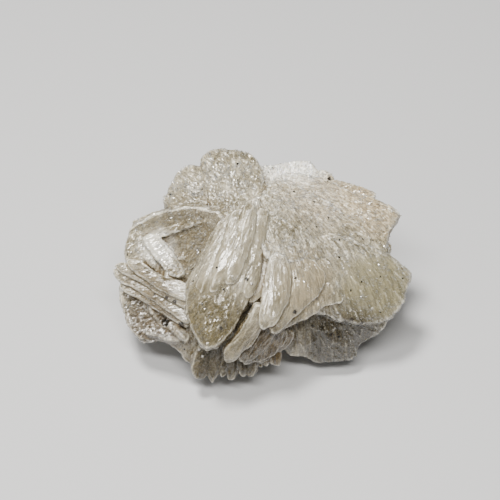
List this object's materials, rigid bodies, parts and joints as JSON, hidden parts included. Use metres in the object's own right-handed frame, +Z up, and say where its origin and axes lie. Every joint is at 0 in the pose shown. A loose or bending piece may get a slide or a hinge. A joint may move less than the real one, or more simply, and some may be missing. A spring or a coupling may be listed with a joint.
{
  "type": "barite cluster",
  "caption": "Rosette of tabular barite crystals grown together, broken flat underneath so that it rests on a shelf or table as a display specimen.",
  "frame": {"origin": "middle of the bounding box at the level of the flat broken base", "axes": "+X to the right across the show face, +Y to the back, +Z up from the base; the show face leans back and looks towards -Y and up"},
  "size_m": [0.0754, 0.0536, 0.0423],
  "materials": {
    "barite": "frosted translucent crystal with a sugary surface, whiter at thin rims, brown stain in the crevices"
  },
  "bodies": {
    "root": {"barite_cluster": "barite"}
  },
  "joints": []
}
